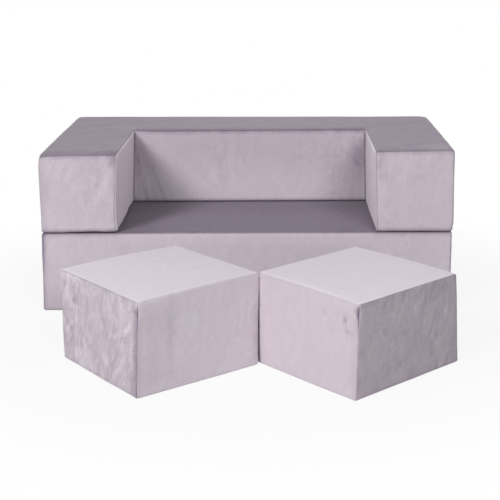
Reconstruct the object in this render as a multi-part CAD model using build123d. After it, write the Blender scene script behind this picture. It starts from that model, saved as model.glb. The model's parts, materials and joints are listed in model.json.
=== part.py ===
"""Foam sofa for small children: a base block, a U-shaped backrest that is sewn to the base along
the back edge and folds over onto the floor behind it, and two loose square poufs.

Each block is cut foam inside a sewn velvet cover with a zip. The origin is on the floor, under the
middle of the base. +X is to the right as the sofa is looked at from the front, +Y is the back and
+Z is up.
"""
from build123d import *
import os

# Sofa sizes in mm
sofa_width = 1060
sofa_depth = 600
base_height = 210
backrest_height = 205
arm_width = 199
back_thickness = 255
rest_gap = 0.3

# Pouf sizes, and where the corners of the two that meet stand: right of the sofa's middle by
# meeting_x, and in front of the base by each pouf's reach
pouf_side = 322
pouf_height = 210
meeting_x = 37
left_pouf_reach = 377
left_pouf_turn_degrees = 39.4
right_pouf_reach = 352
right_pouf_turn_degrees = 42.9

# Cover cloth, its rounded edges and the slight swell of its faces
cover_thickness = 2
edge_radius = 7
niche_corner_radius = 3
front_swell = 3
side_swell = 2
niche_swell = 2
crown = 3

# Foam, cut a little smaller than the cover, with a shallow pocket behind each zip
foam_clearance = 0.3
foam_radius = 6
zip_pocket_depth = 3
zip_pocket_spare = 4

# Zip tape, rows of teeth and the slot in the cover that shows them
base_zip_margin = 80
backrest_zip_margin = 80
pouf_zip_margin = 36
base_zip_height = 70
backrest_zip_height = 70
pouf_zip_height = 70
tape_width = 14
tape_thickness = 0.6
row_width = 2.4
row_thickness = 2
row_gap = 1.2
slot_height = 12
stop_length = 4
stop_thickness = 0.7
stop_overlap = 0.4

# Zip slider: two plates joined by a neck, with side flanges and an arch over the pull's pin
slider_length = 12
slider_width = 9.6
plate_thickness = 1
flange_width = 1.4
neck_length = 2.6
neck_width = 0.6
slider_clearance = 0.3
arch_length = 7
arch_width = 1.8
arch_thickness = 0.8
arch_room = 1.6
slider_corner = 1.6

# Pull: a pin under the arch, two arms round it and a tab
pull_length = 27
pull_width = 5.6
pull_thickness = 1.2
pull_eye_length = 5
pull_eye_width = 3
pull_corner = 2.4
pull_grip_length = 9
pull_grip_width = 2.6

# Sewn band that joins the backrest to the base
band_margin = 30
band_reach = 28
band_thickness = 1.6
band_gap = 0.3

# Room that cuts have to spare, and how close two points are taken as one
overrun = 5
same_place = 0.01

back_y = sofa_depth / 2
front_y = -sofa_depth / 2
niche_width = sofa_width - 2 * arm_width
niche_back_y = back_y - back_thickness
backrest_bottom = base_height + rest_gap
base_zip_length = sofa_width - 2 * base_zip_margin
backrest_zip_length = sofa_width - 2 * backrest_zip_margin
pouf_zip_length = pouf_side - 2 * pouf_zip_margin
band_width = sofa_width - 2 * band_margin
row_face = row_thickness - cover_thickness
hinge_z = base_height + rest_gap / 2


def rectangle_points(width, depth):
    """Corners of a rectangle about the origin, counter-clockwise from the front left."""
    x, y = width / 2, depth / 2
    return [(-x, -y), (x, -y), (x, y), (-x, y)]


def u_points():
    """Corners of the backrest's plan, counter-clockwise from the front of the left arm."""
    outer, inner = sofa_width / 2, niche_width / 2
    return [
        (-outer, front_y),
        (-inner, front_y),
        (-inner, niche_back_y),
        (inner, niche_back_y),
        (inner, front_y),
        (outer, front_y),
        (outer, back_y),
        (-outer, back_y),
    ]


def corner_outwards(points, i):
    """Sum of the outward normals of the two sides that meet at a corner."""
    here = Vector(*points[i])
    before = here - Vector(*points[i - 1])
    after = Vector(*points[(i + 1) % len(points)]) - here
    normals = [Vector(side.Y, -side.X).normalized() for side in (before, after)]
    return normals[0] + normals[1]


def inset_points(points, inset):
    """The same square-cornered outline, drawn in by inset."""
    moved = [Vector(*p) - corner_outwards(points, i) * inset for i, p in enumerate(points)]
    return [(p.X, p.Y) for p in moved]


def swollen_face(points, swells):
    """Flat face on XY whose sides bow outwards, each by its own swell."""
    sides = []
    for i, swell in enumerate(swells):
        start, end = Vector(*points[i]), Vector(*points[(i + 1) % len(points)])
        along = end - start
        outwards = Vector(along.Y, -along.X).normalized()
        if swell:
            sides.append(ThreePointArc(start, (start + end) / 2 + outwards * swell, end))
        else:
            sides.append(Line(start, end))
    return Face(Wire(sides))


def crowned_cutter(points, height, rise):
    """Block whose top arches over X: as tall as height at the outline's sides, higher by rise between."""
    side = max(abs(x) for x, _ in points)
    depth = max(abs(y) for _, y in points) + overrun
    reach = side + overrun
    eaves = height + rise - rise * (reach / side) ** 2
    corners = [(-reach, 0), (reach, 0), (reach, eaves), (-reach, eaves)]
    profile = swollen_face(corners, [0, 0, height + rise - eaves, 0])
    return extrude(Plane.XZ.offset(-depth) * profile, 2 * depth)


def soft_block(points, swells, height, rise=0, inset=0, radius=edge_radius):
    """Block with swollen sides and rounded edges, drawn in by inset on every face."""
    outline = inset_points(points, inset)
    tall = height - 2 * inset
    block = extrude(swollen_face(outline, swells), tall + rise)
    if rise:
        block = block & crowned_cutter(outline, tall, rise)
    hollows = [Vector(*outline[i]) for i in range(len(points)) if turns_in(points, i)]
    hollow_radius = niche_corner_radius + inset
    if hollows:
        uprights = [e for e in block.edges() if stands_near(e, hollows, same_place)]
        block = fillet(uprights, hollow_radius)
    edges = [e for e in block.edges() if not stands_near(e, hollows, 2 * hollow_radius)]
    return Pos(0, 0, inset) * fillet(edges, radius)


def cover_shell(points, swells, height, rise=0):
    """Cover cloth all round a block."""
    lining = soft_block(points, swells, height, rise, cover_thickness, edge_radius - cover_thickness)
    return soft_block(points, swells, height, rise) - lining


def foam_block(points, swells, height, rise=0):
    """Foam that fills a block's cover."""
    return soft_block(points, swells, height, rise, cover_thickness + foam_clearance, foam_radius)


def turns_in(points, i):
    """True at a corner where the outline turns back on itself, as it does at the niche's back."""
    here = Vector(*points[i])
    before = here - Vector(*points[i - 1])
    after = Vector(*points[(i + 1) % len(points)]) - here
    return before.X * after.Y - before.Y * after.X < 0


def stands_near(edge, places, reach):
    """True if an edge stands upright within reach of one of the places."""
    start, end = edge @ 0, edge @ 1
    upright = abs(start.X - end.X) + abs(start.Y - end.Y) < same_place
    return upright and any((Vector(start.X, start.Y) - p).length < reach for p in places)


def wall_region(points, side, bottom, top):
    """Space that holds one side wall of a block, mitred through the corners at its two ends."""
    ends = [side, (side + 1) % len(points)]
    corners = [(Vector(*points[i]), corner_outwards(points, i)) for i in ends]
    outer = [p + d * overrun for p, d in corners]
    inner = [p - d * (edge_radius + overrun) for p, d in reversed(corners)]
    outline = [(p.X, p.Y) for p in outer + inner]
    return Pos(0, 0, bottom) * extrude(Face(Wire.make_polygon(outline)), top - bottom)


def flat_region(points, bottom, top):
    """Space over the whole plan of a block, between two heights."""
    outline = inset_points(points, -overrun)
    return Pos(0, 0, bottom) * extrude(Face(Wire.make_polygon(outline)), top - bottom)


def zip_slot(length):
    """Cut through a cover's wall, which shows the rows of teeth. Local Y points out of the wall."""
    return Box(length, 2 * cover_thickness + overrun, slot_height)


def zip_pocket(length):
    """Hollow in the foam behind the zip, for the tapes and the slider's lower plate."""
    height = 2 * tape_width + row_gap + 2 * zip_pocket_spare
    depth = cover_thickness + foam_clearance + zip_pocket_depth
    pocket = Box(length + 2 * zip_pocket_spare, depth, height)
    return Pos(0, -depth / 2, 0) * pocket


def zip_tapes(length):
    """Two woven tapes, sewn behind the edges of the slot."""
    tape = Box(length, tape_thickness, tape_width)
    y = -cover_thickness - tape_thickness / 2
    z = (row_gap + tape_width) / 2
    return Compound([Pos(0, y, z) * tape, Pos(0, y, -z) * tape])


def zip_rows(length):
    """Two rows of teeth along the inner edges of the tapes."""
    row = Box(length, row_thickness, row_width)
    y = row_face - row_thickness / 2
    z = (row_gap + row_width) / 2
    return Compound([Pos(0, y, z) * row, Pos(0, y, -z) * row])


def zip_stops(length):
    """Two clips at the closed end and one wider clip over both rows at the open end."""
    clip = Box(stop_length, stop_thickness, row_width + stop_overlap)
    both = Box(stop_length, stop_thickness, row_gap + 2 * (row_width + stop_overlap))
    x = (length - stop_length) / 2
    y = row_face + stop_thickness / 2
    z = (row_gap + row_width + stop_overlap) / 2
    return Compound([Pos(x, y, z) * clip, Pos(x, y, -z) * clip, Pos(-x, y, 0) * both])


def slider_rest_x(length):
    """Place of a slider's middle along its zip when the zip is closed."""
    return length / 2 - stop_length - slider_clearance - slider_length / 2


def slider_travel(length):
    """How far a slider runs from the closed end to the open end."""
    return 2 * slider_rest_x(length)


def zip_slider():
    """Slider about its middle, with the arch on its outer plate."""
    outer_y = row_face + slider_clearance
    inner_y = -cover_thickness - tape_thickness - slider_clearance
    flange_depth = outer_y + cover_thickness - slider_clearance
    plate = Box(slider_length, plate_thickness, slider_width)
    plate = fillet(plate.edges().filter_by(Axis.Y), slider_corner)
    body = Pos(0, outer_y + plate_thickness / 2, 0) * plate
    body += Pos(0, inner_y - plate_thickness / 2, 0) * plate
    flange = Box(slider_length - 2 * slider_corner, flange_depth, flange_width)
    for side in (-1, 1):
        z = side * (slider_width - flange_width) / 2
        body += Pos(0, outer_y - flange_depth / 2, z) * flange
    neck = Box(neck_length, outer_y - inner_y, neck_width)
    body += Pos((slider_length - neck_length) / 2 - slider_corner, (outer_y + inner_y) / 2, 0) * neck
    arch_height = arch_room + arch_thickness
    arch = Box(arch_length, arch_height, arch_width)
    arch = fillet(arch.edges().filter_by(Axis.Z).group_by(Axis.Y)[-1], arch_thickness)
    arch -= Pos(0, -arch_thickness / 2, 0) * Box(arch_length - 2 * arch_thickness, arch_room, arch_width)
    return body + Pos(0, outer_y + plate_thickness + arch_height / 2, 0) * arch


def pin_y():
    """Height of the pull's pin above the face of the cover."""
    return row_face + slider_clearance + plate_thickness + arch_room / 2


def zip_pull():
    """Pull lying back over the zip, with its pin on the local origin."""
    tab_length = pull_length - pull_thickness / 2
    tab = Box(tab_length, pull_thickness, pull_width)
    tab = fillet(tab.edges().filter_by(Axis.Y).group_by(Axis.X)[0], pull_corner)
    tab = Pos(-tab_length / 2, 0, 0) * tab
    eye = Box(pull_eye_length, 2 * pull_thickness, pull_eye_width)
    tab -= Pos(-pull_eye_length / 2, 0, 0) * eye
    grip = Box(pull_grip_length, 2 * pull_thickness, pull_grip_width)
    grip = fillet(grip.edges().filter_by(Axis.Y), pull_grip_width / 3)
    tab -= Pos(-(pull_length + pull_eye_length) / 2, 0, 0) * grip
    return tab + Cylinder(pull_thickness / 2, pull_width)


def zip_set(name, length, place):
    """The five nodes of one zip, put where place says."""
    slider_x = slider_rest_x(length)
    return {
        f"{name}_zip_tapes": place * zip_tapes(length),
        f"{name}_zip_rows": place * zip_rows(length),
        f"{name}_zip_stops": place * zip_stops(length),
        f"{name}_zip_slider": place * Pos(slider_x, 0, 0) * zip_slider(),
        f"{name}_zip_pull": place * Pos(slider_x, pin_y(), 0) * zip_pull(),
    }


def box_cover(points, swells, height, rise, zip_place, zip_length):
    """Cover of a box-shaped block: one strip round front, top, back and underside, and two ends."""
    shell = cover_shell(points, swells, height, rise)
    low, high = cover_thickness, height - cover_thickness
    left_end = shell & wall_region(points, 3, low, high)
    right_end = shell & wall_region(points, 1, low, high)
    wrap = shell - wall_region(points, 3, low, high) - wall_region(points, 1, low, high)
    return {"wrap": wrap - zip_place * zip_slot(zip_length), "left_end": left_end, "right_end": right_end}


def base_nodes():
    """Seat block on the floor, its cover and its zip."""
    points = rectangle_points(sofa_width, sofa_depth)
    swells = [front_swell, side_swell, 0, side_swell]
    place = Pos(0, back_y, base_zip_height)
    cover = box_cover(points, swells, base_height, 0, place, base_zip_length)
    foam = foam_block(points, swells, base_height) - place * zip_pocket(base_zip_length)
    nodes = {"base_foam": foam}
    nodes |= {f"base_cover_{part}": shape for part, shape in cover.items()}
    return nodes | zip_set("base", base_zip_length, place)


def backrest_foam():
    """Three foam blocks, glued where the arms meet the back."""
    whole = foam_block(u_points(), backrest_swells(), backrest_height)
    joint_y = niche_back_y + cover_thickness + foam_clearance
    arm_reach = joint_y - front_y
    arm_room = Box(arm_width, arm_reach, backrest_height, align=(Align.CENTER, Align.MAX, Align.MIN))
    arm_x = (sofa_width - arm_width) / 2
    left = largest(whole & Pos(-arm_x, joint_y, 0) * arm_room)
    right = largest(whole & Pos(arm_x, joint_y, 0) * arm_room)
    zip_place = Pos(0, back_y, backrest_zip_height)
    back = largest(whole - left - right) - zip_place * zip_pocket(backrest_zip_length)
    return {"back_foam": back, "left_arm_foam": left, "right_arm_foam": right}


def largest(shape):
    """The largest solid of a shape, without the slivers that a cut along a swollen face leaves."""
    return shape.solids().sort_by(SortBy.VOLUME)[-1]


def backrest_swells():
    """Swell of each side of the backrest's plan, in the order of its corners."""
    return [side_swell, niche_swell, front_swell, niche_swell, side_swell, side_swell, 0, side_swell]


def backrest_cover():
    """Cover of the backrest: a U-shaped top and underside and a wall along each side of the plan."""
    points = u_points()
    shell = cover_shell(points, backrest_swells(), backrest_height)
    low, high = cover_thickness, backrest_height - cover_thickness
    walls = [
        "left_arm_front",
        "left_arm_inside",
        "back_inside",
        "right_arm_inside",
        "right_arm_front",
        "right_outside",
        "back_outside",
        "left_outside",
    ]
    cover = {name: shell & wall_region(points, i, low, high) for i, name in enumerate(walls)}
    cover["back_outside"] -= Pos(0, back_y, backrest_zip_height) * zip_slot(backrest_zip_length)
    cover["top"] = shell & flat_region(points, high, backrest_height + overrun)
    cover["underside"] = shell & flat_region(points, -overrun, low)
    return cover


def backrest_nodes():
    """U-shaped backrest standing on the base, its cover and its zip."""
    place = Pos(0, back_y, backrest_zip_height)
    nodes = {f"backrest_{part}": shape for part, shape in backrest_foam().items()}
    nodes |= {f"backrest_cover_{part}": shape for part, shape in backrest_cover().items()}
    nodes |= zip_set("backrest", backrest_zip_length, place)
    return {name: Pos(0, 0, backrest_bottom) * shape for name, shape in nodes.items()}


def hinge_nodes():
    """The band's two halves, one sewn to the base and one to the backrest, either side of the fold."""
    half = Box(band_width, band_thickness, band_reach, align=(Align.CENTER, Align.MIN, Align.MIN))
    return {
        "hinge_band_lower": Pos(0, back_y, hinge_z - band_gap / 2 - band_reach) * half,
        "hinge_band_upper": Pos(0, back_y, hinge_z + band_gap / 2) * half,
    }


def pouf_place(reach, turn, side, quarter):
    """Place of a pouf's middle: side is -1 for the left pouf and 1 for the right one, and quarter
    turns its cover so that the zip faces away from the front."""
    half = pouf_side / 2
    meeting = Pos(meeting_x, front_y - reach, 0) * Rot(0, 0, turn)
    return meeting * Pos(side * half, -side * half, 0) * Rot(0, 0, quarter)


def pouf_nodes(name, place):
    """One square pouf, its cover and its zip, which is on the side away from the front."""
    points = rectangle_points(pouf_side, pouf_side)
    swells = [side_swell, side_swell, 0, side_swell]
    zip_place = Pos(0, pouf_side / 2, pouf_zip_height)
    cover = box_cover(points, swells, pouf_height, crown, zip_place, pouf_zip_length)
    foam = foam_block(points, swells, pouf_height, crown) - zip_place * zip_pocket(pouf_zip_length)
    nodes = {"foam": foam}
    nodes |= {f"cover_{part}": shape for part, shape in cover.items()}
    nodes = {f"{name}_{part}": shape for part, shape in nodes.items()}
    nodes |= zip_set(name, pouf_zip_length, zip_place)
    return {node: place * shape for node, shape in nodes.items()}


def write_parts():
    """Write every node as a STEP file named after it, and print each slider's travel."""
    nodes = base_nodes() | backrest_nodes() | hinge_nodes()
    nodes |= pouf_nodes("left_pouf", pouf_place(left_pouf_reach, left_pouf_turn_degrees, -1, 0))
    nodes |= pouf_nodes("right_pouf", pouf_place(right_pouf_reach, right_pouf_turn_degrees, 1, -90))
    os.makedirs("parts", exist_ok=True)
    for name, shape in nodes.items():
        export_step(shape, f"parts/{name}.step")
    for name, length in (
        ("base", base_zip_length),
        ("backrest", backrest_zip_length),
        ("pouf", pouf_zip_length),
    ):
        print(f"{name} zip: rest {slider_rest_x(length):.2f}, travel {slider_travel(length):.2f}")


if __name__ == "__main__":
    write_parts()
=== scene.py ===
"""Childrens sofa, dressed: sewn velvet covers over foam, zips, the fold band, light and camera.

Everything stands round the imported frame, in metres, with +X to the right as the sofa is looked at
from the front, +Y to the back and +Z up.
"""
import json
import logging
import math
from dataclasses import dataclass, field
from enum import Enum
from typing import Any, Iterable, Sequence

import bmesh
import bpy
import numpy as np
from mathutils import Matrix, Vector
from mathutils.kdtree import KDTree

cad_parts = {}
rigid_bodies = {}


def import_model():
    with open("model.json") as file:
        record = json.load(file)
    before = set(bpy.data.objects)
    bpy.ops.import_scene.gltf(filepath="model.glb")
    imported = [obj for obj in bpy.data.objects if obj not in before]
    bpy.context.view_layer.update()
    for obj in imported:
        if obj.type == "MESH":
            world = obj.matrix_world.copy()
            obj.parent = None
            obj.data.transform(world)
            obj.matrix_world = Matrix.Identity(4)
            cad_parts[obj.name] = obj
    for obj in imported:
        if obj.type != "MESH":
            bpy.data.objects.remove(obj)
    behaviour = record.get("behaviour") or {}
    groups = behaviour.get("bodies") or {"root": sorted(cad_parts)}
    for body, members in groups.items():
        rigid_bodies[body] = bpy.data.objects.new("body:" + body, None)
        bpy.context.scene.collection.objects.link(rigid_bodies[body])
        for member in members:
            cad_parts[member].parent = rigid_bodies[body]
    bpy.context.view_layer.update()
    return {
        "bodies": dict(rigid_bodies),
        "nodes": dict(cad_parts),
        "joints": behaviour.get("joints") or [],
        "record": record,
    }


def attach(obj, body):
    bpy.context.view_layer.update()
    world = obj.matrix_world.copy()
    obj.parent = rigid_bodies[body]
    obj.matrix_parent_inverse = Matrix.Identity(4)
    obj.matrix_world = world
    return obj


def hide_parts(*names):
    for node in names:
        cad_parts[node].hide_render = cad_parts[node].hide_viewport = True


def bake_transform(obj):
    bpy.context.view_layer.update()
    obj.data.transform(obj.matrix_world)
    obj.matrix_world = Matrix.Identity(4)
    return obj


LOG = logging.getLogger("childrens_sofa")
MM = 0.001
SNAP = 1e-7
CLOTH_MAP = "cloth"
NAP_AND_SHADE = "nap"
RUB = "rub"
WHITE = (1.0, 1.0, 1.0, 1.0)
Point = tuple[float, float, float]
Colour = tuple[float, float, float]
Shades = tuple[tuple[float, Colour], ...]
Settled = dict[tuple[int, int, int], Point]
Values = np.ndarray
Form = bmesh.types.BMesh
Piece = bpy.types.Object
Material = bpy.types.Material
Socket = bpy.types.NodeSocket


def linear(colour: Colour) -> tuple[float, ...]:
    """Turns red, green and blue as a screen shows them, from 0 to 255, into linear values and full alpha."""
    shares = [c / 255 for c in colour]
    return (*(s / 12.92 if s <= 0.04045 else ((s + 0.055) / 1.055) ** 2.4 for s in shares), 1.0)


class Side(Enum):
    """The six ways that a face of a block can look."""

    FRONT = (0, -1, 0)
    BACK = (0, 1, 0)
    LEFT = (-1, 0, 0)
    RIGHT = (1, 0, 0)
    TOP = (0, 0, 1)
    UNDER = (0, 0, -1)

    @property
    def axis(self) -> int:
        """Number of the axis that the side looks along."""
        return [abs(v) for v in self.value].index(1)


SIDES = list(Side)


class Signal:
    """A shader socket that takes part in sums: each operator adds one Math node."""

    def __init__(self, shader: "Shader", socket: Socket) -> None:
        """Wraps one output socket of a shader's node."""
        self.shader = shader
        self.socket = socket

    def math(self, operation: str, first: Any, second: Any) -> "Signal":
        """Adds a Math node on two numbers or signals, and returns its result."""
        node = self.shader.node("Math", {0: first, 1: second}, operation=operation)
        return Signal(self.shader, node.outputs[0])

    def __add__(self, other: Any) -> "Signal":
        """Adds a number or signal."""
        return self.math("ADD", self, other)

    def __sub__(self, other: Any) -> "Signal":
        """Takes a number or signal away."""
        return self.math("SUBTRACT", self, other)

    def __rsub__(self, other: Any) -> "Signal":
        """Takes the signal away from a number."""
        return self.math("SUBTRACT", other, self)

    def __mul__(self, other: Any) -> "Signal":
        """Multiplies by a number or signal."""
        return self.math("MULTIPLY", self, other)

    __radd__, __rmul__ = __add__, __mul__


class Shader:
    """A procedural material or sky, put together node by node."""

    def __init__(self, owner: Material | bpy.types.World) -> None:
        """Starts with the empty node tree of a material or world."""
        owner.use_nodes = True
        self.owner = owner
        self.tree = owner.node_tree
        self.tree.nodes.clear()

    @classmethod
    def named(cls, name: str) -> "Shader":
        """Starts an empty material of that name."""
        return cls(bpy.data.materials.new(name))

    def node(self, kind: str, sockets: dict[Any, Any], **settings: Any) -> bpy.types.Node:
        """Adds a node.

        Args:
            kind: The node's type, less its "ShaderNode".
            sockets: Values or links for its inputs, by name or number.
            settings: Its own settings, set first; stops are a ramp's places and display colours.

        Returns:
            The new node.
        """
        made = self.tree.nodes.new("ShaderNode" + kind)
        for key, value in settings.items():
            if key == "stops":
                self.set_stops(made.color_ramp, value)
            else:
                setattr(made, key, value)
        for key, value in sockets.items():
            link = value.socket if isinstance(value, Signal) else value
            if isinstance(link, Socket):
                self.tree.links.new(link, made.inputs[key])
            else:
                made.inputs[key].default_value = link
        return made

    @staticmethod
    def set_stops(ramp: bpy.types.ColorRamp, stops: Shades) -> None:
        """Gives a ramp its stops."""
        while len(ramp.elements) < len(stops):
            ramp.elements.new(1.0)
        for element, (place, colour) in zip(ramp.elements, stops):
            element.position, element.color = place, linear(colour)

    def signal(self, kind: str, sockets: dict[Any, Any], out: Any = 0, **settings: Any) -> Signal:
        """Adds a node as node() does, and returns one of its outputs."""
        return Signal(self, self.node(kind, sockets, **settings).outputs[out])

    def place(self) -> Signal:
        """Reads the object's own coordinates."""
        return self.signal("TexCoord", {}, "Object")

    def ramp(self, share: Signal, stops: Shades) -> Signal:
        """Turns a share into a colour between the stops."""
        return self.signal("ValToRGB", {"Fac": share}, stops=stops)

    def turned(self, vector: Signal, turn: Point) -> Signal:
        """Turns coordinates about the three axes."""
        return self.signal("Mapping", {"Vector": vector, "Rotation": turn})

    def spread(
        self, value: Signal, old: Sequence[float], new: Sequence[float], eased: bool = False,
    ) -> Signal:
        """Maps an old range of a value to a new one, and clips it there."""
        ends = zip(("Value", "From Min", "From Max", "To Min", "To Max"), (value, *old, *new))
        return self.signal("MapRange", dict(ends), interpolation_type="SMOOTHSTEP" if eased else "LINEAR")

    def noise(self, vector: Signal, scale: Point, detail: float, twist: float = 0.0) -> Signal:
        """Adds a noise from 0 to 1, repeating scale times per metre, with finer layers and a distortion."""
        vector = self.signal("VectorMath", {0: vector, 1: scale}, operation="MULTIPLY")
        sockets = {"Vector": vector, "Scale": 1.0, "Detail": detail, "Distortion": twist}
        return self.signal("TexNoise", sockets, "Fac")

    def surface(self, values: dict[str, Any], height: Signal, relief: float) -> Material:
        """Ends the material in a Principled shader.

        Args:
            values: Numbers, colours or links for its sockets.
            height: What raises the surface.
            relief: How high in metres a full step of height is.

        Returns:
            The finished material.
        """
        bump = self.signal("Bump", {"Height": height, "Distance": relief, "Strength": 1.0})
        shader = self.node("BsdfPrincipled", values | {"Normal": bump})
        self.node("OutputMaterial", {"Surface": shader.outputs[0]})
        return self.owner

    def mixed(self, output: str, share: Signal, first: bpy.types.Node, second: bpy.types.Node) -> None:
        """Ends the tree in two shaders, with the second where the share is one."""
        mix = self.node("MixShader", {0: share, 1: first.outputs[0], 2: second.outputs[0]})
        self.node("Output" + output, {"Surface": mix.outputs[0]})


@dataclass(frozen=True)
class Velvet:
    """Short-pile velvet, lighter or darker by how its pile lies, and by light and shade painted into its
    tone.

    Attributes:
        shades: Its colours, from the darkest tone to the lightest; the tone holds the lie of its pile and
            painted light and shade.
        patch_share: How strongly broad patches show; the other shares are for finer marks.
        stroke_lean: How far the strokes of its pile lean off the cloth's length.
    """

    name: str = "cover_velvet"
    shades: Shades = (
        (0.20, (66, 56, 68)), (0.40, (108, 97, 111)), (0.50, (131, 119, 134)), (0.60, (156, 145, 159)),
        (0.70, (181, 171, 180)), (0.78, (201, 191, 200)), (0.86, (220, 213, 221)), (0.94, (237, 226, 236)),
    )
    patch_share: float = 0.06
    stroke_share: float = 0.2
    fleck_share: float = 0.06
    still_fleck_share: float = 0.03
    grain_share: float = 0.035
    stroke_lean: float = 0.3
    sheen: float = 0.3
    sheen_roughness: float = 0.4
    sheen_tint: Colour = (236, 228, 236)
    gloss: float = 0.15
    relief: float = 0.35 * MM

    def material(self) -> Material:
        """Makes the velvet: its marks follow the cloth map, and its tone, the pile's lie with painted light
        and shade, follows the sculpted attributes.
        """
        shader = Shader.named(self.name)
        cloth = shader.signal("UVMap", {}, "UV", uv_map=CLOTH_MAP)
        # The tone attribute read here holds the pile's lie together with painted light and shade.
        nap, rub = (shader.signal("Attribute", {}, "Fac", attribute_name=name) for name in (NAP_AND_SHADE, RUB))
        leaning = shader.turned(cloth, (0.0, 0.0, self.stroke_lean))
        blotch = shader.noise(leaning, (22.0, 12.5, 1.0), 3.0, 2.0)
        patch = shader.spread(blotch, (0.36, 0.64), (-0.5, 0.5), eased=True)
        stroke = shader.noise(leaning, (54.0, 19.0, 1.0), 5.0, 1.6) - 0.5
        fleck = shader.noise(cloth, (190.0, 130.0, 1.0), 3.0, 0.5) - 0.5
        grain = shader.noise(cloth, (620.0, 420.0, 1.0), 2.0)
        busy = shader.spread(shader.noise(cloth, (9.0, 6.0, 1.0), 1.0), (0.35, 0.65), (0.45, 1.35))
        marks = busy * (patch * self.patch_share + stroke * self.stroke_share) + fleck * self.fleck_share
        tone = nap + rub * marks + fleck * self.still_fleck_share + (grain - 0.5) * self.grain_share
        values = {
            "Base Color": shader.ramp(tone, self.shades),
            "Roughness": 0.98 - 0.22 * nap,
            "Sheen Weight": self.sheen,
            "Sheen Roughness": self.sheen_roughness,
            "Sheen Tint": linear(self.sheen_tint),
            "Specular IOR Level": self.gloss,
        }
        return shader.surface(values, grain + stroke * 0.5, self.relief)


Pattern = tuple[Signal, Signal, dict[str, Any]]


@dataclass(frozen=True)
class Finish:
    """A finish whose colour follows a pattern on the object's own coordinates.

    Attributes:
        name: The material's name.
        shades: The colours at the two ends of its pattern.
        relief: How high the pattern stands.
    """

    name: str
    shades: Shades
    relief: float

    def pattern(self, shader: Shader, place: Signal) -> Pattern:
        """What its colour follows, what raises it, and its other sockets."""
        raise NotImplementedError

    def material(self) -> Material:
        """Makes the material."""
        shader = Shader.named(self.name)
        shade, height, values = self.pattern(shader, shader.place())
        return shader.surface(values | {"Base Color": shader.ramp(shade, self.shades)}, height, self.relief)


@dataclass(frozen=True)
class CutFoam(Finish):
    """Open-cell upholstery foam with a knife-cut skin."""

    name: str = "cut_foam"
    # The darker end of the ramp is painted shade in the open cells' hollows.
    shades: Shades = ((0.1, (196, 184, 148)), (0.8, (232, 224, 196)))
    relief: float = 0.5 * MM

    def pattern(self, shader: Shader, place: Signal) -> Pattern:
        """Small open cells and faint saw lines."""
        cells = shader.signal("TexVoronoi", {"Vector": place, "Scale": 700.0}, "Distance")
        shade = cells * 0.9 + shader.noise(place, (4.0, 4.0, 260.0), 2.0) * 0.25
        return shade, shade, {"Roughness": 0.95}


@dataclass(frozen=True)
class WovenTape(Finish):
    """Woven cloth tape, turned on Z so that its threads run along it."""

    # The darker end of the ramp is painted shade in the grooves between the threads.
    shades: Shades = ((0.1, (104, 94, 107)), (0.9, (150, 139, 152)))
    relief: float = 0.25 * MM
    turn: float = 0.0
    thread: float = 1.3 * MM
    twill: float = math.radians(38)

    def pattern(self, shader: Shader, place: Signal) -> Pattern:
        """A twill of threads that cross."""
        along = shader.turned(place, (0.0, 0.0, -self.turn))
        leaning = shader.turned(along, (0.0, self.twill, 0.0))
        fine = math.pi / (10 * self.thread)
        rib, cross = (
            shader.signal("TexWave", {"Vector": v, "Scale": fine, "Distortion": d}, "Fac", bands_direction=b)
            for v, d, b in ((leaning, 0.3, "X"), (along, 0.2, "Z"))
        )
        weave = rib * 0.6 + cross * 0.4
        return weave, weave, {"Roughness": 0.85, "Sheen Weight": 0.1}


@dataclass(frozen=True)
class Nylon(Finish):
    """Moulded nylon of the zip's teeth."""

    name: str = "tooth_nylon"
    shades: Shades = ((0.35, (158, 147, 160)), (0.75, (186, 177, 188)))
    relief: float = 0.05 * MM

    def pattern(self, shader: Shader, place: Signal) -> Pattern:
        """Faint clouds, paler where the slider rubs."""
        cloud = shader.noise(place, (120.0, 120.0, 120.0), 3.0)
        return cloud, cloud, {"Roughness": 0.3 + cloud * 0.25}


@dataclass(frozen=True)
class CastMetal(Finish):
    """Zinc casting under a lacquer in the cloth's colour, rubbed bare in places."""

    name: str = "slider_metal"
    shades: Shades = ((0.52, (164, 155, 166)), (0.72, (205, 202, 200)))
    relief: float = 0.04 * MM

    def pattern(self, shader: Shader, place: Signal) -> Pattern:
        """Fine scratches down to the bright zinc."""
        scratch = shader.noise(place, (160.0, 2200.0, 900.0), 4.0, 0.4)
        wear = shader.noise(place, (240.0, 240.0, 240.0), 3.0)
        values = {"Metallic": 0.55 + 0.4 * wear, "Roughness": 0.22 + scratch * 0.3}
        return scratch * 0.55 + wear * 0.45, scratch, values


@dataclass(frozen=True)
class Panel:
    """One cut piece of cover cloth.

    Attributes:
        node: The frame's node that it stands for.
        faces: The sides that it covers, each with a point in the middle of that side.
        tones: How light each side looks, from 0 to 1: partly the pile's lie, partly painted light and shade.
        rubbed: How strongly its pile is rubbed about.
    """

    node: str
    faces: dict[Side, Point]
    tones: dict[Side, float]
    rubbed: float = 1.0


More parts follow.
